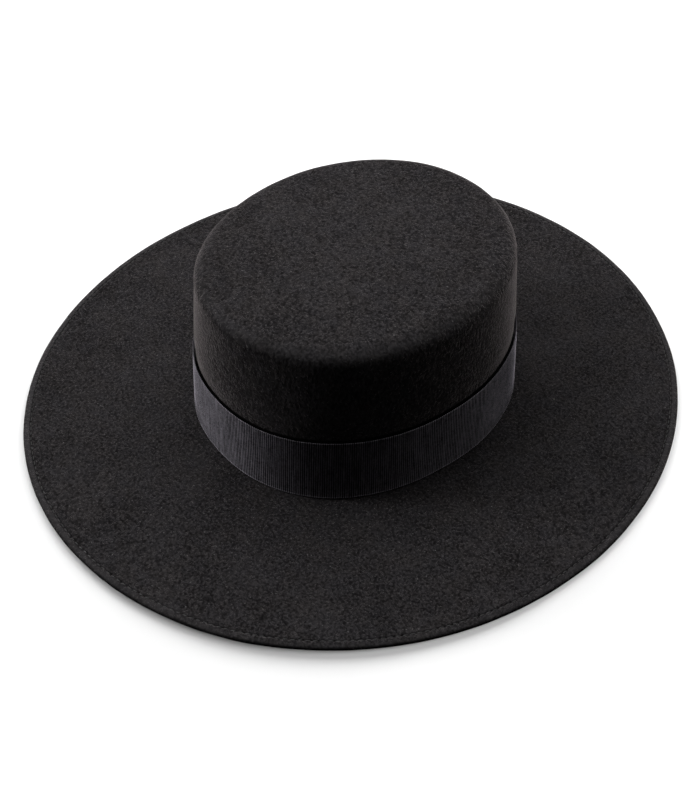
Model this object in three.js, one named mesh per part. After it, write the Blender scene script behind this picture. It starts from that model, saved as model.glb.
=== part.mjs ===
// Gaucho hat: a flat-topped felt crown on a wide, nearly flat brim, with a ribbon round the crown's foot.
// Millimetres, +Z up. The front of the hat is -Y and the wearer's left is +X.
// The origin is on the floor that the rim rests on, under the middle of the crown.

import * as THREE from 'three';

// Felt
const feltThick = 1.8;

// Crown, measured outside
const crownBaseWidth = 175.2;    // at the brim, left to right
const crownBaseLength = 199.6;   // at the brim, front to back
const crownTopWidth = 163.4;     // where the wall turns into the top
const crownTopLength = 193.2;
const crownHeight = 108.2;       // from the brim's upper face to the flat top
const crownBow = 0.6;            // swell of the side wall halfway up
const crownEdgeRadius = 10.0;    // rounding from the side wall into the flat top
const crownRootRadius = 1.0;     // inner corner between the side wall and the brim

// Brim
const brimWidthSides = 102.2;    // from the crown to the rim, left and right
const brimWidthEnds = 107.2;     // from the crown to the rim, front and back
const brimSaddle = 1.8;          // rise of the rim's high places, and drop of its low ones
const brimSaddleTurn = 10;       // degrees from the hat's left side to a low place
const brimLevelWidth = 14;       // ring next to the crown that stays level

// Rim, where the felt is turned under and held by one line of stitches
const hemWidth = 8.0;            // width of the turned-under felt
const stitchInset = 4.6;         // from the rim to the stitches
const stitchGrooveWidth = 1.8;   // furrow that the stitches pull into the felt
const stitchGrooveDepth = 0.5;
const hemSwell = 0.3;            // how far the felt puffs up between the stitches and the rim

// Ribbon
const ribbonWidth = 44.0;
const ribbonThick = 1.0;
const ribbonClearance = 0.3;     // between the ribbon and the crown's wall
const ribbonLift = 1.1;          // from the brim's upper face to the ribbon's lower edge
const ribbonLap = 25;            // length over which one end lies on the other
const ribbonLapRamp = 7;         // length over which the upper end comes down to the felt
const ribbonCutEdge = 0.3;       // length of the step at the upper end's cut edge
const ribbonJointAngle = 180;    // degrees from the hat's left side to the middle of the lap

// How square each plan outline is: 2 is an ellipse
const crownBasePower = 2.19;
const crownTopPower = 2.03;
const rimPower = 2.01;

// Facets
const sectorCount = 80;          // round the hat
const edgeSteps = 4;             // round the crown's top edge
const rootSteps = 2;             // round the crown's root
const rimSteps = 6;              // round the rim
const brimSteps = 4;             // across the brim, outside the level ring
const wallSteps = 3;             // up the side wall

// Places that follow from the sizes above
const hemThick = 2 * feltThick;
const brimLevel = hemThick + brimSaddle;
const wallHeight = crownHeight - crownEdgeRadius;
const rimHalfWidth = crownBaseWidth / 2 + brimWidthSides;
const rimHalfLength = crownBaseLength / 2 + brimWidthEnds;
const sectorAngles = Array.from({ length: sectorCount }, (_, i) => (i / sectorCount) * 2 * Math.PI);

const mix = THREE.MathUtils.lerp;
const toRadians = THREE.MathUtils.degToRad;

// Radius of an oval plan outline in one direction
function ovalRadius(halfWidth, halfLength, power, angle) {
  const across = Math.abs(Math.cos(angle)) / halfWidth;
  const along = Math.abs(Math.sin(angle)) / halfLength;
  return (across ** power + along ** power) ** (-1 / power);
}

// Outer radius of the crown's side wall at a height above the brim's upper face
function wallRadius(height, angle) {
  const share = height / wallHeight;
  const swell = crownBow * 4 * share * (1 - share);
  const halfWidth = mix(crownBaseWidth, crownTopWidth, share) / 2 + swell;
  const halfLength = mix(crownBaseLength, crownTopLength, share) / 2 + swell;
  return ovalRadius(halfWidth, halfLength, mix(crownBasePower, crownTopPower, share), angle);
}

function rimRadius(angle) {
  return ovalRadius(rimHalfWidth, rimHalfLength, rimPower, angle);
}

// Rise of the brim: level next to the crown, then growing into a shallow saddle towards the rim
function saddleRise(radius, angle) {
  const levelRadius = wallRadius(0, angle) + brimLevelWidth;
  const share = Math.max(0, (radius - levelRadius) / (rimRadius(angle) - levelRadius));
  return -brimSaddle * Math.cos(2 * (angle - toRadians(brimSaddleTurn))) * share ** 2;
}

// A ring of points round the hat. place gives each direction its radius and its height above the floor
function ring(place, angles = sectorAngles) {
  return angles.map((angle) => {
    const { radius, height } = place(angle);
    return new THREE.Vector3(radius * Math.cos(angle), radius * Math.sin(angle), height);
  });
}

// A ring on the brim, by its share of the way from the level ring to the hem's inner edge. offset is its height
// over the brim's upper face
function brimShareRing(share, offset) {
  return ring((angle) => {
    const start = wallRadius(0, angle) + brimLevelWidth;
    const radius = mix(start, rimRadius(angle) - hemWidth, share);
    return { radius, height: brimLevel + offset + saddleRise(radius, angle) };
  });
}

// The same, by its distance in from the rim
function hemRing(inset, offset) {
  return ring((angle) => {
    const radius = rimRadius(angle) - inset;
    return { radius, height: brimLevel + offset + saddleRise(radius, angle) };
  });
}

// A ring on the crown's side wall; depth is how far it lies inside the outer face
function wallRing(height, depth) {
  return ring((angle) => ({ radius: wallRadius(height, angle) - depth, height: brimLevel + height }));
}

// A ring on the rounding into the flat top; turn is 0 at the wall and a quarter turn at the top
function edgeRing(turn, depth) {
  const reach = crownEdgeRadius - depth;
  return ring((angle) => ({
    radius: wallRadius(wallHeight, angle) - crownEdgeRadius + reach * Math.cos(turn),
    height: brimLevel + wallHeight + reach * Math.sin(turn),
  }));
}

// A ring on the corner between wall and brim; turn is 0 at the brim and a quarter turn at the wall
function rootRing(turn, depth) {
  const reach = crownRootRadius + depth;
  return ring((angle) => ({
    radius: wallRadius(0, angle) + crownRootRadius - reach * Math.sin(turn),
    height: brimLevel + crownRootRadius - reach * Math.cos(turn),
  }));
}

function steps(count) {
  return Array.from({ length: count + 1 }, (_, i) => i / count);
}

// One face of the felt, from the middle of the crown's top out to the hem. depth 0 is the upper face
function feltFace(depth) {
  const quarter = Math.PI / 2;
  const edge = steps(edgeSteps).map((share) => edgeRing((1 - share) * quarter, depth));
  const wall = steps(wallSteps).slice(1, -1).map((share) => wallRing(mix(wallHeight, crownRootRadius, share), depth));
  const root = steps(rootSteps).map((share) => rootRing((1 - share) * quarter, depth));
  const brim = steps(brimSteps).map((share) => brimShareRing(share, -depth));
  const pole = [new THREE.Vector3(0, 0, brimLevel + crownHeight - depth)];
  return [pole, ...edge, ...wall, ...root, ...brim];
}

// The furrow of the stitches and the swell of the hem, from the inside out
const hemProfile = [
  { inset: stitchInset + stitchGrooveWidth / 2, offset: 0 },
  { inset: stitchInset, offset: -stitchGrooveDepth },
  { inset: stitchInset - stitchGrooveWidth / 2, offset: hemSwell / 2 },
  { inset: (stitchInset + feltThick) / 2, offset: hemSwell },
];

function makeFeltGeometry() {
  const hemTop = hemProfile.map(({ inset, offset }) => hemRing(inset, offset));
  const rim = steps(rimSteps).map((share) => {
    const turn = share * Math.PI;
    return hemRing(feltThick * (1 - Math.sin(turn)), feltThick * (Math.cos(turn) - 1));
  });
  const hemUnder = [hemRing(hemWidth, -hemThick)];
  return skin([...feltFace(0), ...hemTop, ...rim, ...hemUnder, ...feltFace(feltThick).reverse()], false);
}

// The lap joint: how many layers of ribbon lie on each other along it
const lapProfile = [
  { along: -ribbonLap / 2 - ribbonCutEdge, layers: 1 },
  { along: -ribbonLap / 2, layers: 2 },
  { along: ribbonLap / 2, layers: 2 },
  { along: ribbonLap / 2 + ribbonLapRamp, layers: 1 },
];

function layersAt(along) {
  const next = lapProfile.findIndex((row) => row.along > along);
  if (next < 1) return 1;
  const [before, after] = [lapProfile[next - 1], lapProfile[next]];
  return mix(before.layers, after.layers, (along - before.along) / (after.along - before.along));
}

function makeRibbonGeometry() {
  const middle = toRadians(ribbonJointAngle);
  const jointRadius = wallRadius(ribbonLift + ribbonWidth / 2, middle);
  const lapAngles = lapProfile.map(({ along }) => middle + along / jointRadius);
  const isFree = (angle) => lapAngles.every((lap) => Math.abs(angle - lap) * jointRadius > ribbonCutEdge);
  const angles = [...sectorAngles.filter(isFree), ...lapAngles].sort((a, b) => a - b);

  const faceRing = (share, isOuter) => ring((angle) => {
    const height = ribbonLift + share * ribbonWidth;
    const build = isOuter ? layersAt((angle - middle) * jointRadius) * ribbonThick : 0;
    return { radius: wallRadius(height, angle) + ribbonClearance + build, height: brimLevel + height };
  }, angles);

  const inner = steps(wallSteps).map((share) => faceRing(share, false));
  const outer = steps(wallSteps).map((share) => faceRing(1 - share, true));
  return skin([...outer, ...inner], true);
}

// A closed skin of triangles through a list of rings. A ring of one point is a pole
function skin(rings, joinsEnds) {
  const positions = [];
  const indices = [];
  const starts = rings.map((points) => {
    const start = positions.length / 3;
    points.forEach((point) => positions.push(point.x, point.y, point.z));
    return start;
  });
  const last = joinsEnds ? rings.length : rings.length - 1;
  for (let i = 0; i < last; i += 1) {
    const k = (i + 1) % rings.length;
    const count = Math.max(rings[i].length, rings[k].length);
    for (let j = 0; j < count; j += 1) {
      const next = (j + 1) % count;
      const a = starts[i] + (rings[i].length > 1 ? j : 0);
      const b = starts[k] + (rings[k].length > 1 ? j : 0);
      const c = starts[k] + (rings[k].length > 1 ? next : 0);
      const d = starts[i] + (rings[i].length > 1 ? next : 0);
      if (b !== c) indices.push(a, b, c);
      if (a !== d) indices.push(a, c, d);
    }
  }
  const geometry = new THREE.BufferGeometry();
  geometry.setAttribute('position', new THREE.Float32BufferAttribute(positions, 3));
  geometry.setIndex(indices);
  geometry.computeVertexNormals();
  return geometry;
}

const blackFelt = new THREE.MeshStandardMaterial({ color: 0x242325, roughness: 0.95, metalness: 0 });
const blackRibbon = new THREE.MeshStandardMaterial({ color: 0x1a1a1e, roughness: 0.6, metalness: 0 });

const feltBody = new THREE.Mesh(makeFeltGeometry(), blackFelt);
feltBody.name = 'felt_body';

const ribbonBand = new THREE.Mesh(makeRibbonGeometry(), blackRibbon);
ribbonBand.name = 'ribbon_band';

const group = new THREE.Group();
group.name = 'gaucho_hat';
group.add(feltBody, ribbonBand);

export default group;
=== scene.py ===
# A gaucho hat in black felt: flat crown, wide brim with a stitched hem, ribbed ribbon round the crown's foot
import bisect
import math
import random
import bmesh
import bpy
from mathutils import Matrix, Vector, noise


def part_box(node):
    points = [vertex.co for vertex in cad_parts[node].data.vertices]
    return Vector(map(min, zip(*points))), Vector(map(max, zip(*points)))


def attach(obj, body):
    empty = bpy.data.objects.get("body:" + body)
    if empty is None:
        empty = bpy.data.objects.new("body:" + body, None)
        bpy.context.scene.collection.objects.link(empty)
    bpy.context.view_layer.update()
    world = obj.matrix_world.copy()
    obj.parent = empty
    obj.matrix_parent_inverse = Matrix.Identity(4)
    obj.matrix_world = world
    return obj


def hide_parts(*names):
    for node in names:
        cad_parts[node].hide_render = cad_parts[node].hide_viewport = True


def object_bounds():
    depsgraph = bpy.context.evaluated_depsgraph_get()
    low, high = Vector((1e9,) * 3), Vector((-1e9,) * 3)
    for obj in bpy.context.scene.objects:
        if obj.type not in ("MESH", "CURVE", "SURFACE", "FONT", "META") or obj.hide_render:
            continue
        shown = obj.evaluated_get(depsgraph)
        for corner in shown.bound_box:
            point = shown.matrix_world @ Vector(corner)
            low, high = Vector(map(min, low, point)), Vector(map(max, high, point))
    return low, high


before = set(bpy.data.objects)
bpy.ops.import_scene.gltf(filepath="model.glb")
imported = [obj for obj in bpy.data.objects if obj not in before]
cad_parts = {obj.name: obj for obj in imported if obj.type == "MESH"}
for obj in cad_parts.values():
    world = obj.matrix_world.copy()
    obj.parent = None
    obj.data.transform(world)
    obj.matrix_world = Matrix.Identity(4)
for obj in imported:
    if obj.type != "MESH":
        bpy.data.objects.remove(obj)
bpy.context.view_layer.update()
print("frame loaded")

mm = 0.001
quarter = math.pi / 2
feltLow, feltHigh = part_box("felt_body")
ribbonLow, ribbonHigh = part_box("ribbon_band")


# Modelling helpers

def activate(piece):
    bpy.ops.object.select_all(action="DESELECT")
    piece.select_set(True)
    bpy.context.view_layer.objects.active = piece


def editMesh(piece, selectMode="EDGE"):
    activate(piece)
    bpy.ops.object.mode_set(mode="EDIT")
    bpy.ops.mesh.select_mode(type=selectMode)


def leaveEdit():
    bpy.ops.object.mode_set(mode="OBJECT")


def faceOutward():
    bpy.ops.mesh.select_all(action="SELECT")
    bpy.ops.mesh.normals_make_consistent(inside=False)


def mix(low, high, share):
    return low + (high - low) * share


def steps(count):
    return [i / count for i in range(count + 1)]


def finishPiece(piece, material, smoothAngle=60):
    activate(piece)
    bpy.ops.object.shade_smooth_by_angle(angle=math.radians(smoothAngle))
    piece.data.materials.clear()
    piece.data.materials.append(material)
    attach(piece, "root")
    print(piece.name, "has", sum(len(face.vertices) - 2 for face in piece.data.polygons), "triangles")


# Shader helpers: a Field is one socket that takes part in plain arithmetic

class Field:
    def __init__(self, shader, socket):
        self.shader = shader
        self.socket = socket

    def combine(self, operation, first, second):
        return self.shader.add("ShaderNodeMath", {"operation": operation}, {0: first, 1: second})

    def __add__(self, other):
        return self.combine("ADD", self, other)

    def __radd__(self, other):
        return self.combine("ADD", other, self)

    def __sub__(self, other):
        return self.combine("SUBTRACT", self, other)

    def __rsub__(self, other):
        return self.combine("SUBTRACT", other, self)

    def __mul__(self, other):
        return self.combine("MULTIPLY", self, other)

    def __rmul__(self, other):
        return self.combine("MULTIPLY", other, self)

    def __abs__(self):
        return self.shader.add("ShaderNodeMath", {"operation": "ABSOLUTE"}, {0: self})


class Shader:
    def __init__(self, name):
        self.material = bpy.data.materials.new(name)
        self.material.use_nodes = True
        self.tree = self.material.node_tree
        self.tree.nodes.clear()

    def add(self, kind, settings, inputs, output=0):
        node = self.tree.nodes.new(kind)
        for name, value in settings.items():
            setattr(node, name, value)
        for name, value in inputs.items():
            if isinstance(value, Field):
                self.tree.links.new(value.socket, node.inputs[name])
            else:
                node.inputs[name].default_value = value
        return Field(self, node.outputs[output])

    def place(self):
        return self.add("ShaderNodeTexCoord", {}, {}, "Object")

    def stretched(self, place, factors):
        return self.add("ShaderNodeVectorMath", {"operation": "MULTIPLY"}, {0: place, 1: factors})

    def noise(self, place, size, detail=2.0, roughness=0.5, distortion=0.0):
        values = {"Vector": place, "Scale": 1 / size, "Detail": detail}
        values.update({"Roughness": roughness, "Distortion": distortion})
        return self.add("ShaderNodeTexNoise", {}, values, "Fac")

    def attribute(self, name):
        return self.add("ShaderNodeAttribute", {"attribute_name": name}, {}, "Fac")

    def specks(self, place, spacing, radius):    # sparse round grains, full from half their radius inward
        settings = {"voronoi_dimensions": "3D", "feature": "F1"}
        values = {"Vector": place, "Scale": 1 / spacing}
        near = self.add("ShaderNodeTexVoronoi", settings, values, "Distance")
        return self.ramp(near, radius / spacing, 0.5 * radius / spacing)

    def ramp(self, value, low, high):    # 0 at low, 1 at high, softly
        values = {"Value": value, "From Min": low, "From Max": high, "To Min": 0.0, "To Max": 1.0}
        return self.add("ShaderNodeMapRange", {"interpolation_type": "SMOOTHSTEP"}, values)

    def colour(self, share, first, second):
        return self.add("ShaderNodeMix", {"data_type": "RGBA"}, {0: share, 6: first, 7: second}, 2)

    def bump(self, height, depth, strength):
        return self.add("ShaderNodeBump", {}, {"Height": height, "Distance": depth, "Strength": strength})

    def shaded(self, values):
        return self.add("ShaderNodeBsdfPrincipled", {}, values)

    def mixed(self, share, first, second):
        return self.add("ShaderNodeMixShader", {}, {0: share, 1: first, 2: second})

    def surface(self, shaded):
        end = self.tree.nodes.new("ShaderNodeOutputMaterial")
        self.tree.links.new(shaded.socket, end.inputs["Surface"])
        return self.material


# The oval form that felt and ribbon share. Sizes in millimetres

form = {
    "feltThick": 1.8,
    "crownBase": (175.2, 199.6, 2.19),   # outside width and length, and squareness: 2 is an ellipse
    "crownTop": (163.4, 193.2, 2.03),
    "rimPower": 2.01,
    "crownBow": 0.6,
    "edgeRadius": 10.0,                  # rounding into the flat top
    "edgeChanges": [(268, 30, -3.6), (3, 22, 1.4)],    # direction and spread in degrees, change of rounding
    "rootRadius": 1.0,                   # corner between crown and brim
    "saddle": 1.8,                       # rise and fall of the rim
    "saddleTurn": 10,                    # degrees from the hat's left side to a low place
    "levelWidth": 14,                    # brim next to the crown that stays level
    "unevenDepth": 0.3,                  # how far hand blocking leaves the felt off its true form
    "unevenSize": 46,
    "unevenSeed": 3,
    "rippleShare": 0.35,                 # smaller unevenness on top of it
    "rippleSize": 13,
    "waist": 0.95,                       # how far the ribbon draws the felt in behind it
    "waistFoot": 8,                      # height over which the felt goes in
    "waistTop": 45.6,                    # where it begins to come out again
    "waistRise": 13,                     # height over which it comes out
}
feltThick = form["feltThick"] * mm
brimLevel = 2 * feltThick + form["saddle"] * mm
crownHeight = feltHigh.z - brimLevel
wallHeight = crownHeight - form["edgeRadius"] * mm
noise.seed_set(form["unevenSeed"])    # without it the noise differs from run to run


def ovalRadius(width, length, power, angle):
    across = abs(math.cos(angle)) / (width / 2)
    along = abs(math.sin(angle)) / (length / 2)
    return (across ** power + along ** power) ** (-1 / power)


def wallRadius(height, angle):
    share = height / wallHeight
    swell = form["crownBow"] * 4 * share * (1 - share)
    width, length, power = (mix(a, b, share) for a, b in zip(form["crownBase"], form["crownTop"]))
    return ovalRadius((width + 2 * swell) * mm, (length + 2 * swell) * mm, power, angle)


def smooth(share):
    share = min(1, max(0, share))
    return share * share * (3 - 2 * share)


def fade(value, start, width):    # 1 up to start, then softly down to 0
    return 1 - smooth((value - start) / width)


def waistDepth(height):    # how far the felt is drawn in at a height above the brim
    foot = smooth(height / mm / form["waistFoot"])
    return form["waist"] * mm * foot * fade(height / mm, form["waistTop"], form["waistRise"])


def rimRadius(angle):
    return ovalRadius(feltHigh.x - feltLow.x, feltHigh.y - feltLow.y, form["rimPower"], angle)


def saddleRise(radius, angle):
    level = wallRadius(0, angle) + form["levelWidth"] * mm
    share = max(0, (radius - level) / (rimRadius(angle) - level))
    return -form["saddle"] * mm * math.cos(2 * (angle - math.radians(form["saddleTurn"]))) * share ** 2


def uneven(point):    # where hand blocking leaves a point of the true form
    wide = noise.noise_vector(point / (form["unevenSize"] * mm))
    fine = noise.noise_vector(point / (form["rippleSize"] * mm))
    return point + (wide + fine * form["rippleShare"]) * form["unevenDepth"] * mm


def formPoint(angle, radius, height):
    return Vector((radius * math.cos(angle), radius * math.sin(angle), height))


def nearestSector(angles, angle):    # number of the sector that a direction is
    slack, near = 1e-5, 1e-4
    after = bisect.bisect(angles, angle % (2 * math.pi) + slack)
    before = (after - 1) % len(angles)
    away = abs(angles[before] - angle) % (2 * math.pi)
    return before if min(away, 2 * math.pi - away) < near else after % len(angles)


def evenAngles(count, radiusAt):    # directions that divide an oval into equal lengths
    finer = 20
    fine = finer * count
    angles = [2 * math.pi * i / fine for i in range(fine + 1)]
    points = [Vector((radiusAt(a) * math.cos(a), radiusAt(a) * math.sin(a))) for a in angles]
    lengths = [0]
    for before, after in zip(points, points[1:]):
        lengths.append(lengths[-1] + (after - before).length)
    found, k = [], 0
    for i in range(count):
        target = lengths[-1] * i / count
        while lengths[k + 1] < target:
            k += 1
        found.append(mix(angles[k], angles[k + 1], (target - lengths[k]) / (lengths[k + 1] - lengths[k])))
    return found


def startRing(name, angles, place):    # a circle of vertices, one for each direction
    bpy.ops.object.select_all(action="DESELECT")
    bpy.ops.mesh.primitive_circle_add(vertices=len(angles), radius=feltHigh.y)
    piece = bpy.context.object
    piece.name = name
    turns = [math.atan2(vertex.co.y, vertex.co.x) % (2 * math.pi) for vertex in piece.data.vertices]
    for angle, k in zip(angles, sorted(range(len(turns)), key=turns.__getitem__)):
        piece.data.vertices[k].co = (math.cos(angle), math.sin(angle), 0)
    editMesh(piece)
    bpy.ops.mesh.select_all(action="SELECT")
    placeRing(piece, place)
    return piece


def placeRing(piece, place):    # selected vertices keep their direction; place gives radius and height
    mesh = bmesh.from_edit_mesh(piece.data)
    for vertex in [v for v in mesh.verts if v.select]:
        angle = math.atan2(vertex.co.y, vertex.co.x) % (2 * math.pi)
        vertex.co = formPoint(angle, *place(angle))
    bmesh.update_edit_mesh(piece.data)


def makeUneven(piece):
    for vertex in piece.data.vertices:
        vertex.co = uneven(vertex.co)


def extrudeRing(piece, place):
    bpy.ops.mesh.extrude_region_move(TRANSFORM_OT_translate={"value": (0, 0, 0)})
    placeRing(piece, place)


def buildStrand(rows, sides):    # a round strand along x. Rows in millimetres: along, aside, height, radius
    bpy.ops.object.select_all(action="DESELECT")
    bpy.ops.mesh.primitive_circle_add(vertices=sides, radius=1 * mm, rotation=(0, quarter, 0))
    piece = bpy.context.object
    bpy.ops.object.transform_apply(location=False, rotation=True, scale=True)
    editMesh(piece)
    bpy.ops.mesh.select_all(action="SELECT")
    bpy.ops.mesh.edge_face_add()
    along, aside, height, radius = rows[0]
    bpy.ops.transform.resize(value=(1, radius, radius))
    bpy.ops.transform.translate(value=(along * mm, aside * mm, height * mm))
    for before, after in zip(rows, rows[1:]):
        move = [(b - a) * mm for a, b in zip(before[:3], after[:3])]
        bpy.ops.mesh.extrude_region_move(TRANSFORM_OT_translate={"value": move})
        grow = after[3] / before[3]
        bpy.ops.transform.resize(value=(1, grow, grow))
    faceOutward()
    leaveEdit()
    return piece


def copyPlaced(model, placing):    # a copy with its own mesh, placed in the mesh
    copy = bpy.data.objects.new(model.name, model.data.copy())
    bpy.context.collection.objects.link(copy)
    copy.data.transform(placing)
    return copy


def joinCopies(model, copies, name):
    bpy.data.objects.remove(model)
    bpy.ops.object.select_all(action="DESELECT")
    for copy in copies:
        copy.select_set(True)
    bpy.context.view_layer.objects.active = copies[0]
    bpy.ops.object.join()
    piece = bpy.context.object
    piece.name = name
    return piece


# Felt body: one felt with a turned-under hem. Sizes in millimetres

felt = {
    "hemWidth": 8.0,
    "stitchInset": 4.65,    # from the rim to the stitches
    # distance in from the rim, and height over the brim
    "hemSection": [(7.4, 0.0), (6.6, 0.03), (6.0, 0.06), (5.6, 0.03), (5.3, -0.08), (5.05, -0.26),
                   (4.85, -0.42), (4.65, -0.47), (4.45, -0.42), (4.25, -0.28), (4.0, -0.13), (3.7, -0.06),
                   (3.3, -0.04), (2.8, -0.08), (2.3, -0.18)],
    "underHem": (3.0, 3.7, 4.25, 4.65, 5.05, 5.6),    # the same distances, on the turned-under felt
    "pull": 0.22,           # how much deeper the furrow is where the thread goes through
    "pullWidth": 0.9,
    "underShare": 0.5,      # the furrow below is this share as deep
    "stitches": 304,
    # rings, from the crown's top out to the rim and back inside
    "edgeRings": 9,
    "wallRows": [91, 84, 77, 70, 63, 58, 54, 51, 49, 47.7, 47, 46.5, 46, 45.6, 44, 38, 30, 22, 15, 10, 7.5,
                 5.5, 3.5, 2],    # heights over the brim
    "rootRings": 3,
    "brimRings": 20,
    "rimRings": 16,
    "innerBrimRings": 7,
    "innerWallEvery": 4,    # the inner wall takes one of so many rows
    "innerEdgeRings": 5,
    "innerTop": (0.75, 0.5, 0.25, 0.06),
    "topSpans": 4,          # the top's grid has one span for this many sectors
    # where the felt is painted paler, a painted highlight on the hem's band and the crown's edge. Of two
    # numbers, the first is where it ends and the second how softly
    "hemHighlight": (3.0, 1.3),
    "nearSide": 323,       # degrees from the hat's left side to the side toward the camera, which the lamps light least: there the painted highlight on the hem is weakest
    "nearSideShare": 0.8,
    "edgeHighlight": 0.36,        # how strongly the crown's edge is painted paler, against the hem: a painted highlight
    "edgeDrop": (3, 4),
    "edgeFoot": (3, 3),
    "edgeInward": (3, 5),
    # painted shade: darker in the furrow, on the rim's face, and on the felt behind and just above the
    # ribbon. Of a pair, the first is for the far side and the second for the side toward the camera
    "upperFace": (0.1, 0.8),
    "furrowShade": (0.80, 0.20),
    "furrowWidth": (0.3, 0.6),
    "foldShade": 0.8,
    "foldStart": (0.9, 0.25),
    "foldSoft": 0.8,
    "foldWidth": (1.2, 1.5),
    "waistStart": 1.5,      # height over the brim where it begins behind the ribbon
    "waistSoft": 3,
    "waistOver": 0.8,       # how far above the ribbon it reaches
    # colours of the felt and sizes of its grain, in metres
    "patchSize": 0.034,
    "dappleSize": 0.0075,
    "warmthSize": 0.012,
    "clumpSize": 0.0034,
    "woolSize": 0.0015,
    "curlSize": 0.0026,
    "lintSpacing": 0.0052,
    "lintRadius": 0.00042,
    "napDepth": 0.0010,
    "darkWool": ((0.0058, 0.0055, 0.0059, 1), (0.0059, 0.0055, 0.0056, 1)),    # cool and warm
    "lightWool": ((0.0300, 0.0286, 0.0305, 1), (0.0307, 0.0285, 0.0292, 1)),
    "hairColour": (0.052, 0.049, 0.050, 1),
    "lintColour": (0.110, 0.107, 0.110, 1),
    # paler colour of the painted highlight
    "highlightColour": (0.052, 0.050, 0.052, 1),
    # dark colour of the painted shade
    "shadeColour": (0.004, 0.004, 0.004, 1),
    "napTint": (1.0, 0.905, 0.90, 1),
}


def edgeRadius(angle):
    size = form["edgeRadius"]
    for direction, spread, change in form["edgeChanges"]:
        away = (math.degrees(angle) - direction + 180) % 360 - 180
        size += change * math.exp(-(away / spread) ** 2)
    return size * mm


def atEdge(turn, depth):    # on the rounding into the top
    def place(angle):
        rounding = edgeRadius(angle)
        reach = rounding - depth
        radius = wallRadius(wallHeight, angle) - rounding + reach * math.cos(turn)
        return radius, brimLevel + crownHeight - rounding + reach * math.sin(turn)
    return place


def atWall(height, depth):
    return lambda angle: (wallRadius(height, angle) - waistDepth(height) - depth, brimLevel + height)


def atRoot(turn, depth):    # in the corner between crown and brim
    root = form["rootRadius"] * mm
    reach = root + depth

    def place(angle):
        radius = wallRadius(0, angle) + root - reach * math.sin(turn)
        return radius, brimLevel + root - reach * math.cos(turn)
    return place


def atBrim(share, depth):    # across the brim, from the corner's end to the hem's inner edge
    def place(angle):
        start = wallRadius(0, angle) + form["rootRadius"] * mm
        radius = mix(start, rimRadius(angle) - felt["hemWidth"] * mm, share)
        return radius, brimLevel - depth + saddleRise(radius, angle)
    return place


def atHem(inset, drop, pull=0.0):    # near the rim, by the distance in from it
    def place(angle):
        radius = rimRadius(angle) - inset
        deeper = pull * (0.5 - 0.5 * math.cos(stitchPhase(angle)))
        return radius, brimLevel - drop - deeper + saddleRise(radius, angle)
    return place


def stitchLineRadius(angle):
    return rimRadius(angle) - felt["stitchInset"] * mm


sectorAngles = evenAngles(2 * felt["stitches"], stitchLineRadius)


def stitchPhase(angle):    # even sectors lie under the middle of a stitch, odd ones where the thread goes in
    return math.pi * nearestSector(sectorAngles, angle)


def hemRise(inset):    # height of the hem's section, in millimetres
    rows = sorted(felt["hemSection"])
    for (near, low), (far, high) in zip(rows, rows[1:]):
        if near <= inset <= far:
            return mix(low, high, (inset - near) / (far - near))
    return 0.0


def pullAt(inset):
    return felt["pull"] * mm * max(0, 1 - abs(inset - felt["stitchInset"]) / felt["pullWidth"])


def atRim(turn):    # round the rim: an oval quarter above, a round quarter below
    inset, rise = (size * mm for size in felt["hemSection"][-1])
    if turn > quarter:
        return atHem(feltThick * (1 - math.sin(turn)), feltThick * (1 - math.cos(turn)))
    return atHem(inset * (1 - math.sin(turn)), feltThick - (feltThick + rise) * math.cos(turn))


def atUnderHem(inset):
    furrow = min(0, hemRise(inset)) * felt["underShare"]
    return atHem(inset * mm, 2 * feltThick + furrow * mm, -pullAt(inset) * felt["underShare"])


def buildFelt():
    wallRows = [height * mm for height in felt["wallRows"]]
    innerRows = reversed(wallRows[1::felt["innerWallEvery"]])
    outer = [atEdge((1 - share) * quarter, 0) for share in steps(felt["edgeRings"])][1:]
    outer += [atWall(height, 0) for height in wallRows]
    outer += [atRoot((1 - share) * quarter, 0) for share in steps(felt["rootRings"])]
    outer += [atBrim(share, 0) for share in steps(felt["brimRings"])[1:]]
    hem = [atHem(inset * mm, -rise * mm, pullAt(inset)) for inset, rise in felt["hemSection"]]
    rim = [atRim(share * math.pi) for share in steps(felt["rimRings"])[1:]]
    under = [atUnderHem(inset) for inset in (*felt["underHem"], felt["hemWidth"])]
    under.append(atHem(felt["hemWidth"] * mm, feltThick))
    inner = [atBrim(1 - share, feltThick) for share in steps(felt["innerBrimRings"])[1:]]
    inner += [atRoot(share * quarter, feltThick) for share in steps(felt["rootRings"])[1:]]
    inner += [atWall(height, feltThick) for height in innerRows]
    inner += [atEdge(share * quarter, feltThick) for share in steps(felt["innerEdgeRings"])]

    piece = startRing("felt_body_cloth", sectorAngles, atEdge(quarter, 0))
    for place in outer + hem + rim + under + inner:
        extrudeRing(piece, place)
    closeInside(piece)
    closeTop(piece)
    faceOutward()
    leaveEdit()
    storePaintedLight(piece)
    makeUneven(piece)
    return piece


def crownEdgeShare(z, radius, angle):    # 1 along the crown's upper edge, on the outer face, where a highlight is painted
    drop = (feltHigh.z - z) / mm
    inward = (wallRadius(wallHeight, angle) - radius) / mm
    return fade(drop, *felt["edgeDrop"]) * fade(drop, *felt["edgeFoot"]) * fade(inward, *felt["edgeInward"])


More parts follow.
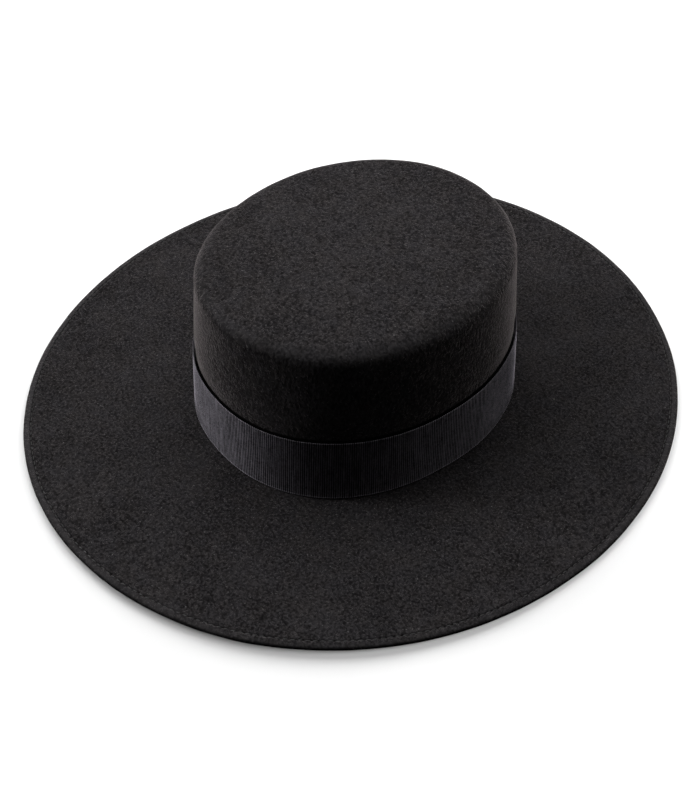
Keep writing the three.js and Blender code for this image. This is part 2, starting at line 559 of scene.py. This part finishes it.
def paintedLightAt(place):    # how strongly the felt is painted paler as a highlight, on the hem and the crown's edge, and painted darker as shade, in the furrow, on the rim's face and behind the ribbon
    angle = math.atan2(place.y, place.x) % (2 * math.pi)
    radius = math.hypot(place.x, place.y)
    inset = (rimRadius(angle) - radius) / mm
    below = (brimLevel + saddleRise(radius, angle) - place.z) / mm
    height = (place.z - brimLevel) / mm
    upper = fade(below, *felt["upperFace"])
    nearShare = max(0, math.cos(angle - math.radians(felt["nearSide"]))) ** 2
    # painted highlight on the hem's band, weakest on the side toward the camera, and on the crown's edge
    hem = upper * fade(inset, *felt["hemHighlight"]) * (1 - felt["nearSideShare"] * nearShare)
    edge = felt["edgeHighlight"] * crownEdgeShare(place.z, radius, angle)
    # painted shade in the furrow, on the rim's face and behind the ribbon
    furrow = mix(*felt["furrowShade"], nearShare) * upper
    furrow *= fade(abs(inset - felt["stitchInset"]), *felt["furrowWidth"])
    fold = felt["foldShade"] * smooth((below - mix(*felt["foldStart"], nearShare)) / felt["foldSoft"])
    fold *= fade(inset, *felt["foldWidth"])
    waist = smooth((height - felt["waistStart"]) / felt["waistSoft"])
    waist *= fade(height, form["waistTop"], felt["waistOver"])
    return max(hem, edge), max(furrow, fold, waist)


def storePaintedLight(piece):    # the painted highlight and the painted shade, for the material
    paintedHighlight, paintedShade = zip(*(paintedLightAt(vertex.co) for vertex in piece.data.vertices))
    piece.data.attributes.new("paintedHighlight", "FLOAT", "POINT").data.foreach_set("value", paintedHighlight)
    piece.data.attributes.new("paintedShade", "FLOAT", "POINT").data.foreach_set("value", paintedShade)


def closeInside(piece):    # the inner face of the top, ring by ring to its middle
    for share in felt["innerTop"]:
        def place(angle, share=share):
            radius, height = atEdge(quarter, feltThick)(angle)
            return radius * share, height
        extrudeRing(piece, place)
    bpy.ops.mesh.merge(type="CENTER")


def closeTop(piece):    # the outer face of the top, as a grid
    bpy.ops.mesh.select_all(action="DESELECT")
    bpy.ops.mesh.select_non_manifold(extend=False, use_wire=False, use_multi_face=False,
                                     use_non_contiguous=False, use_verts=False)
    bpy.ops.mesh.fill_grid(span=len(sectorAngles) // felt["topSpans"], offset=0)
    mesh = bmesh.from_edit_mesh(piece.data)
    for vertex in [v for v in mesh.verts if v.select]:
        if all(face.select for face in vertex.link_faces):
            vertex.co.z = feltHigh.z
    bmesh.update_edit_mesh(piece.data)


def makeFeltMaterial():
    shader = Shader("black felt")
    place = shader.place()
    patches = shader.noise(place, felt["patchSize"], detail=3)
    dapple = shader.noise(place, felt["dappleSize"])
    mirrored = shader.stretched(place, (-1, 1, 1))
    warmth = shader.noise(mirrored, felt["warmthSize"], detail=3, roughness=0.6)
    clumps = shader.noise(place, felt["clumpSize"], roughness=0.6, distortion=0.8)
    tall = shader.stretched(place, (1, 1, 0.55))    # the nap is brushed upwards on the crown's wall
    wool = shader.noise(tall, felt["woolSize"], roughness=0.55, distortion=0.6)
    taller = shader.stretched(place, (1, 1, 0.45))
    curl = shader.noise(taller, felt["curlSize"], distortion=1.5)
    hairs = shader.ramp(abs(curl - 0.5), 0.040, 0.0) * shader.ramp(wool, 0.42, 0.62)
    lint = shader.specks(place, felt["lintSpacing"], felt["lintRadius"])
    tone = clumps * 0.18 + wool * 0.82 + (patches - 0.5) * 0.18 + (dapple - 0.5) * 0.08
    shade = shader.ramp(tone, 0.30, 0.70)
    warm = shader.ramp(warmth, 0.35, 0.65)
    dark = shader.colour(warm, *felt["darkWool"])
    light = shader.colour(warm, *felt["lightWool"])
    base = shader.colour(hairs * 0.22, shader.colour(shade, dark, light), felt["hairColour"])
    base = shader.colour(lint, base, felt["lintColour"])
    # painted highlight: paler on the hem's band and the crown's edge
    base = shader.colour(shader.attribute("paintedHighlight") * 0.40, base, felt["highlightColour"])
    height = clumps * 0.4 + wool * 0.6 + hairs * 0.1
    nap = shader.shaded({
        "Base Color": base,
        "Roughness": 0.96,
        "Specular IOR Level": 0.0,
        "Sheen Weight": 0.463,
        "Sheen Roughness": 0.30,
        "Sheen Tint": felt["napTint"],
        "Normal": shader.bump(height, felt["napDepth"], 1.0),
    })
    # painted shade: a dark matte felt mixed in over the furrow, the rim's face and behind the ribbon
    paintedShadeSurface = shader.shaded({"Base Color": felt["shadeColour"], "Roughness": 0.95, "Specular IOR Level": 0.0})
    return shader.surface(shader.mixed(shader.attribute("paintedShade"), nap, paintedShadeSurface))


feltPiece = buildFelt()
finishPiece(feltPiece, makeFeltMaterial())
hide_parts("felt_body")
print("felt body built")


# Rim stitches: one stitch is modelled, then copied round the rim on both faces. Sizes in millimetres

stitch = {
    "rows": [(-1.45, 0, -0.62, 0.20), (-1.20, 0, -0.12, 0.25), (-0.60, 0, 0.10, 0.29),
             (0.60, 0, 0.10, 0.29), (1.20, 0, -0.12, 0.25), (1.45, 0, -0.62, 0.20)],
    "sides": 6,
    "lift": 0.10,           # of the thread's middle over the furrow
    "jitter": 0.10,         # how far a stitch may lie beside the line
    "seed": 5,
    "twistSize": 0.0004,    # of the thread's texture, in metres
    "twistDepth": 0.00012,
    "darkThread": (0.007, 0.007, 0.007, 1),
    "lightThread": (0.026, 0.025, 0.027, 1),
}


def stitchLine(side):    # the bottom of the furrow, on the upper or the lower face
    inset = felt["stitchInset"]
    if side > 0:
        return atHem(inset * mm, -hemRise(inset) * mm)
    return atHem(inset * mm, 2 * feltThick + hemRise(inset) * felt["underShare"] * mm)


def buildStitches():
    model = buildStrand(stitch["rows"], stitch["sides"])
    draw = random.Random(stitch["seed"])
    copies = []
    for i in range(felt["stitches"]):
        angle = sectorAngles[2 * i]
        ahead = sectorAngles[(2 * i + 1) % len(sectorAngles)]
        for side in (1, -1):
            line = stitchLine(side)
            here = uneven(formPoint(angle, *line(angle)))
            there = uneven(formPoint(ahead, *line(ahead)))
            along = (there - here).normalized()
            up = (Vector((0, 0, side)) - along * along.z * side).normalized()
            across = up.cross(along)
            turn = Matrix((along, across, up)).transposed().to_4x4()
            wobble = draw.uniform(-1, 1) * stitch["jitter"] * mm
            seat = here + up * stitch["lift"] * mm + across * wobble
            copies.append(copyPlaced(model, Matrix.Translation(seat) @ turn))
    return joinCopies(model, copies, "rim_stitches")


def makeThreadMaterial():
    shader = Shader("black sewing thread")
    twist = shader.noise(shader.place(), stitch["twistSize"], roughness=0.6, distortion=0.8)
    base = shader.colour(shader.ramp(twist, 0.35, 0.7), stitch["darkThread"], stitch["lightThread"])
    return shader.surface(shader.shaded({
        "Base Color": base,
        "Roughness": 0.40,
        "Specular IOR Level": 0.60,
        "Normal": shader.bump(twist, stitch["twistDepth"], 0.8),
    }))


stitchPiece = buildStitches()
finishPiece(stitchPiece, makeThreadMaterial())
print("stitches sewn")


# Lint: a few pale fibres lie on the felt where the photo shows them. Sizes in millimetres

lint = {
    "rows": [(-0.55, 0.0, 0.0, 0.05), (-0.25, 0.10, 0.12, 0.10), (0.05, 0.02, 0.16, 0.12),
             (0.32, -0.12, 0.10, 0.10), (0.52, -0.06, 0.0, 0.05)],
    "sides": 4,
    "brim": [(85, 89, 1.25), (-66, 184, 1.0), (-88, -159, 0.8), (109, -142, 0.75), (-143, -102, 0.75),
             (132, -42, 0.75), (152, -75, 0.7), (175, 38, 0.7)],
    "top": [(56, 53, 0.9), (-32, -56, 0.7), (14, 26, 0.6), (59, -8, 0.6)],    # across, along, size
    "loose": 70,            # smaller ones strewn over brim and top
    "looseSize": (0.20, 0.42),
    "reach": (0.1, 0.93),   # share of the hat's area, from the middle out, that they may lie on
    "clear": 3,             # distance from the crown that stays free of them
    "seed": 11,
    "toneSize": 0.02,       # of the change from fibre to fibre, in metres
    "warmFibre": (0.30, 0.29, 0.26, 1),
    "coolFibre": (0.34, 0.34, 0.36, 1),
}


def brimHeight(across, along):
    angle = math.atan2(along, across)
    return brimLevel + saddleRise(math.hypot(across, along) * mm, angle)


def looseLint(draw):
    reach = draw.uniform(*lint["reach"])
    size = draw.uniform(*lint["looseSize"])
    angle = draw.uniform(0, 2 * math.pi)
    radius = rimRadius(angle) / mm * math.sqrt(reach)
    across, along = radius * math.cos(angle), radius * math.sin(angle)
    onTop = radius < wallRadius(wallHeight, angle) / mm - form["edgeRadius"]
    onBrim = radius > wallRadius(0, angle) / mm + lint["clear"]
    return (across, along, size, onTop) if onTop or onBrim else looseLint(draw)


def buildLint():
    model = buildStrand(lint["rows"], lint["sides"])
    draw = random.Random(lint["seed"])
    places = [(*spot, False) for spot in lint["brim"]] + [(*spot, True) for spot in lint["top"]]
    places += [looseLint(draw) for i in range(lint["loose"])]
    copies = []
    for across, along, size, onTop in places:
        height = feltHigh.z if onTop else brimHeight(across, along)
        seat = uneven(Vector((across * mm, along * mm, height)))
        turn = Matrix.Rotation(draw.uniform(0, 2 * math.pi), 4, "Z")
        copies.append(copyPlaced(model, Matrix.Translation(seat) @ turn @ Matrix.Scale(size, 4)))
    return joinCopies(model, copies, "lint_specks")


def makeLintMaterial():
    shader = Shader("pale lint")
    tone = shader.noise(shader.place(), lint["toneSize"], roughness=0.6)
    base = shader.colour(shader.ramp(tone, 0.4, 0.6), lint["warmFibre"], lint["coolFibre"])
    return shader.surface(shader.shaded({"Base Color": base, "Roughness": 0.8, "Specular IOR Level": 0.3}))


lintPiece = buildLint()
finishPiece(lintPiece, makeLintMaterial())
print("lint strewn")


# Ribbon: ribs run from edge to edge, with a corded selvedge along both edges. Sizes in millimetres

ribbon = {
    "standOff": 0.85,       # of the ribbon's outer face from the felt above it
    "thick": 0.28,
    "lift": 1.1,            # from the brim to its lower edge
    "ribs": 472,
    "sidesPerRib": 4,
    "ribDepth": 0.20,
    "rows": 6,              # from selvedge to selvedge
    "selvedgeWidth": 1.1,
    "selvedgeSwell": (0.24, 0.04),     # of the lower and the upper edge
    "selvedgeHighlightShares": (1, 0.26),       # how strongly each edge is painted pale, a painted highlight where the edge catches the light
    "lap": 25,
    "lapRamp": 7,           # length over which the upper end comes down
    "cutEdge": 0.3,         # length of the step at its cut edge
    "jointAngle": 180,      # degrees from the hat's left side to the middle of the lap
    "cutLength": 631,       # once round the crown, and the lap
    # colours, and sizes of the threads in metres
    "weftSize": 0.0013,
    "slubSize": 0.0018,
    "yarnSize": 0.0016,
    "wearSize": 0.0042,
    "threadDepth": 0.00022,
    "darkYarn": (0.001, 0.0010, 0.0012, 1),
    "lightYarn": (0.008, 0.0076, 0.0092, 1),
    # pale colour of the painted highlight along the selvedges
    "selvedgeHighlightColour": (0.20, 0.19, 0.21, 1),
    # dark colour of the painted shade in the rib grooves
    "grooveShadeColour": (0.0012, 0.0011, 0.0013, 1),
    "lustre": (0.94, 0.89, 1.0, 1),
}
ribbonWidth = ribbonHigh.z - ribbonLow.z


def ribbonRadius(angle):
    return wallRadius(ribbon["lift"] * mm + ribbonWidth / 2, angle) + ribbon["standOff"] * mm


def lapLayers(angle):
    along = (angle - math.radians(ribbon["jointAngle"])) * ribbonRadius(angle) / mm
    half = ribbon["lap"] / 2
    if -half <= along <= half:
        return 2
    if along > half:
        return 1 + max(0, 1 - (along - half) / ribbon["lapRamp"])
    return 1 + max(0, 1 - (-half - along) / ribbon["cutEdge"])


ribAngles = evenAngles(ribbon["ribs"] * ribbon["sidesPerRib"], ribbonRadius)


def ribHeight(angle):    # 0 in the groove, 1 on the rib's crest
    share = nearestSector(ribAngles, angle) / ribbon["sidesPerRib"]
    return 0.5 - 0.5 * math.cos(2 * math.pi * share)


def atRibbon(height, build, ribbing):    # build is how far the outer face stands out; None is the inner face
    def place(angle):
        level = ribbon["lift"] * mm + height
        radius = wallRadius(level, angle) + ribbon["standOff"] * mm
        if build is None:
            radius -= ribbon["thick"] * mm
        else:
            radius += (lapLayers(angle) - 1) * ribbon["thick"] * mm + build * mm
            radius -= ribbing * ribbon["ribDepth"] * mm * (1 - ribHeight(angle))
        return radius, brimLevel + level
    return place


def selvedgeRows(edge, swell):    # height from the edge, how far it stands out, and share of the ribbing
    rows = [(0.0, -0.24, 0.0), (0.12, -0.08, 0.15), (0.3, swell * 0.7, 0.35), (0.55, swell, 0.5),
            (0.8, swell * 0.5, 0.7), (1.0, 0.0, 1.0)]
    return [(edge * share, build, ribbing) for share, build, ribbing in rows]


def buildRibbon():
    edge = ribbon["selvedgeWidth"] * mm
    lower, upper = (selvedgeRows(edge, swell) for swell in ribbon["selvedgeSwell"])
    outer = [(ribbonWidth - height, build, ribbing) for height, build, ribbing in upper]
    outer += [(mix(ribbonWidth - edge, edge, share), 0.0, 1.0) for share in steps(ribbon["rows"])[1:-1]]
    outer += list(reversed(lower))
    inner = [(height, None, 0) for height in (0.0, ribbonWidth * 0.5, ribbonWidth)]
    piece = startRing("ribbon_band_grosgrain", ribAngles, atRibbon(*outer[0]))
    for row in outer[1:] + inner:
        extrudeRing(piece, atRibbon(*row))
    bpy.ops.mesh.select_all(action="DESELECT")
    bpy.ops.mesh.select_non_manifold(extend=False, use_wire=False, use_multi_face=False,
                                     use_non_contiguous=False, use_verts=False)
    bpy.ops.mesh.bridge_edge_loops()
    faceOutward()
    leaveEdit()
    storeWeave(piece)
    makeUneven(piece)
    return piece


def storeWeave(piece):    # where the ribs are, and how strongly the selvedges are painted pale as a highlight, for the material
    ribs, selvedgeHighlight = [], []
    edge = ribbon["selvedgeWidth"] * mm
    lowerShare, upperShare = ribbon["selvedgeHighlightShares"]
    for vertex in piece.data.vertices:
        height = vertex.co.z - brimLevel - ribbon["lift"] * mm
        lower = max(0, 1 - height / edge) * lowerShare
        upper = max(0, 1 - (ribbonWidth - height) / edge) * upperShare
        ribs.append(ribHeight(math.atan2(vertex.co.y, vertex.co.x) % (2 * math.pi)))
        selvedgeHighlight.append(lower + upper)
    piece.data.attributes.new("rib", "FLOAT", "POINT").data.foreach_set("value", ribs)
    piece.data.attributes.new("selvedgeHighlight", "FLOAT", "POINT").data.foreach_set("value", selvedgeHighlight)


def makeRibbonMaterial():
    shader = Shader("black grosgrain")
    place = shader.place()
    ribs = shader.attribute("rib")
    weft = shader.noise(shader.stretched(place, (1, 1, 1.2)), ribbon["weftSize"], roughness=0.6)
    slubs = shader.noise(shader.stretched(place, (1, 1, 0.2)), ribbon["slubSize"])
    yarns = shader.noise(shader.stretched(place, (1, 1, 0.02)), ribbon["yarnSize"], roughness=0.6)
    wear = shader.noise(place, ribbon["wearSize"], roughness=0.55)
    selvedgeHighlight = shader.attribute("selvedgeHighlight")
    # tone is lighter on the rib crests, partly a painted highlight, and varies at random with the weave
    tone = ribs * 0.30 + weft * 0.45 + slubs * 0.25
    yarn = shader.colour(shader.ramp(tone, 0.35, 0.95), ribbon["darkYarn"], ribbon["lightYarn"])
    # the selvedges are painted pale: a painted highlight where the edges catch the light
    silk = shader.shaded({
        "Base Color": shader.colour(shader.ramp(selvedgeHighlight, 0.0, 0.6), yarn, ribbon["selvedgeHighlightColour"]),
        "Roughness": 0.60,
        "IOR": 1.9,
        "Specular IOR Level": 0.85,
        "Specular Tint": ribbon["lustre"],
        "Anisotropic": 0.9,
        "Anisotropic Rotation": 0.25,      # threads lie round the hat, so light spreads up and down
        "Sheen Weight": 1.0,
        "Sheen Roughness": 0.30,
        "Sheen Tint": ribbon["lustre"],
        "Normal": shader.bump(weft * 0.6 + slubs * 0.4, ribbon["threadDepth"], 1.0),
    })
    # painted shade: a dark matte yarn in the rib grooves
    grooveShade = shader.shaded({
        "Base Color": ribbon["grooveShadeColour"],
        "Roughness": 0.8,
        "Specular IOR Level": 0.12,
    })
    # share of lit silk against the painted groove shade, broken at random by the weave; the selvedges'
    # painted highlight adds to it
    crest = ribs + (yarns - 0.5) * 0.7 + (weft - 0.5) * 0.9 + (slubs - 0.5) * 0.4 + (wear - 0.5) * 0.3
    return shader.surface(shader.mixed(shader.ramp(crest + selvedgeHighlight * 0.5, 0.25, 0.95), grooveShade, silk))


ribbonPiece = buildRibbon()
finishPiece(ribbonPiece, makeRibbonMaterial(), 75)
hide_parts("ribbon_band")
print("ribbon wound")


# Stage: white floor, soft lights from behind, and the camera at the photo's angle

stage = {
    "floorSize": 2.6,
    "floorColour": (0.80, 0.80, 0.80, 1),
    "azimuth": 53.2,
    "elevation": 47.17,
    "roll": 0.75,
    "distance": 863,
    "focus": 1407,                 # focal length in pixels of the 700 by 800 picture
    "longSide": 800,
    "sensor": 36,
    "target": (12.07, -12.98),     # millimetres: the middle of the picture, on the brim's upper face
}


def directions():
    a, e = math.radians(stage["azimuth"]), math.radians(stage["elevation"])
    back = Vector((math.sin(a) * math.cos(e), -math.cos(a) * math.cos(e), math.sin(e)))
    right = Vector((math.cos(a), math.sin(a), 0))
    return back, right, back.cross(right)


def makeCamera():
    back, right, up = directions()
    roll = math.radians(stage["roll"])
    rolledRight = right * math.cos(roll) + up * math.sin(roll)
    rolledUp = up * math.cos(roll) - right * math.sin(roll)
    bpy.ops.object.camera_add()
    camera = bpy.context.object
    camera.name = "camera"
    camera.data.sensor_width = stage["sensor"]
    camera.data.lens = stage["focus"] / stage["longSide"] * stage["sensor"]
    target = Vector((stage["target"][0] * mm, stage["target"][1] * mm, brimLevel))
    turn = Matrix((rolledRight, rolledUp, back)).transposed().to_4x4()
    camera.matrix_world = Matrix.Translation(target + back * stage["distance"] * mm) @ turn
    bpy.context.scene.camera = camera


def makeFloor():
    bpy.ops.mesh.primitive_plane_add(size=stage["floorSize"], location=(0, 0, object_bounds()[0].z))
    floor = bpy.context.object
    floor.name = "floor"
    floor.visible_diffuse = False    # the white floor doesn't light the hat from below
    floor.visible_glossy = False
    shader = Shader("white floor")
    floor.data.materials.append(shader.surface(shader.shaded({"Base Color": stage["floorColour"],
                                                              "Roughness": 1.0, "Specular IOR Level": 0.0})))


lights = {
    "aim": (0, 0, 0.03),
    "lamps": [
        # name, degrees round from the camera, degrees up, distance, size, watts, colour
        ("rear", 180, 65, 1.3, 0.9, 9.6, (1.0, 0.99, 0.985)),
        ("rearRight", 120, 65, 1.3, 0.9, 5.0, (1.0, 0.99, 0.985)),
        ("rearLeft", 240, 65, 1.3, 0.9, 8.5, (1.0, 0.99, 0.985)),
        ("leftHigh", 258, 57, 1.8, 0.38, 3.2, (0.99, 0.985, 1.0)),
        ("left", 270, 27, 1.8, 0.38, 11.5, (0.99, 0.985, 1.0)),
        ("nearLeft", 300, 15, 1.5, 0.8, 0.6, (0.99, 0.985, 1.0)),
        ("nearRight", 85, 15, 1.5, 0.8, 0.95, (1.0, 1.0, 1.0)),
        ("nearFill", 30, 40, 0.9, 0.5, 0.1, (1.0, 1.0, 1.0)),
    ],
    "floorLamps": [    # they fall on the floor alone, and the hat's shadow in them is wide and soft
        ("floorRearRight", 150, 12, 4.0, 2.9, 320, (1.0, 1.0, 1.0)),
        ("floorRear", 190, 12, 4.0, 2.9, 94, (1.0, 1.0, 1.0)),
        ("floorLeft", 240, 12, 4.0, 2.9, 238, (1.0, 1.0, 1.0)),
        ("floorHigh", 210, 40, 4.0, 2.9, 124, (1.0, 1.0, 1.0)),
        ("floorNear", 50, 50, 4.0, 4.6, 150, (1.0, 1.0, 1.0)),
    ],
}


def makeLights():
    back, right = directions()[:2]
    near = Vector((back.x, back.y, 0)).normalized()
    onFloor = bpy.data.collections.new("floor light")
    onFloor.objects.link(bpy.data.objects["floor"])
    onHat = bpy.data.collections.new("hat light")
    for piece in (feltPiece, stitchPiece, lintPiece, ribbonPiece):
        onHat.objects.link(piece)
    for name, turn, rise, distance, size, power, colour in lights["lamps"] + lights["floorLamps"]:
        a, e = math.radians(turn), math.radians(rise)
        out = (near * math.cos(a) + right * math.sin(a)) * math.cos(e) + Vector((0, 0, math.sin(e)))
        bpy.ops.object.light_add(type="AREA", location=Vector(lights["aim"]) + out * distance)
        light = bpy.context.object
        light.name = name
        light.data.shape = "SQUARE"
        light.data.size = size
        light.data.energy = power
        light.data.color = colour
        light.rotation_mode = "QUATERNION"
        light.rotation_quaternion = (-out).to_track_quat("-Z", "Y")
        light.visible_camera = False
        light.light_linking.receiver_collection = onFloor if name.startswith("floor") else onHat


def makeWorld():
    world = bpy.data.worlds.new("pale surround")
    world.use_nodes = True
    sky = world.node_tree.nodes["Background"]
    sky.inputs["Color"].default_value = (1, 1, 1, 1)
    sky.inputs["Strength"].default_value = 1.0
    world.cycles_visibility.diffuse = False     # seen behind the floor, but not a light
    world.cycles_visibility.glossy = False
    bpy.context.scene.world = world


makeCamera()
makeFloor()
makeLights()
makeWorld()
bpy.context.scene.view_settings.view_transform = "Standard"
print("stage set")
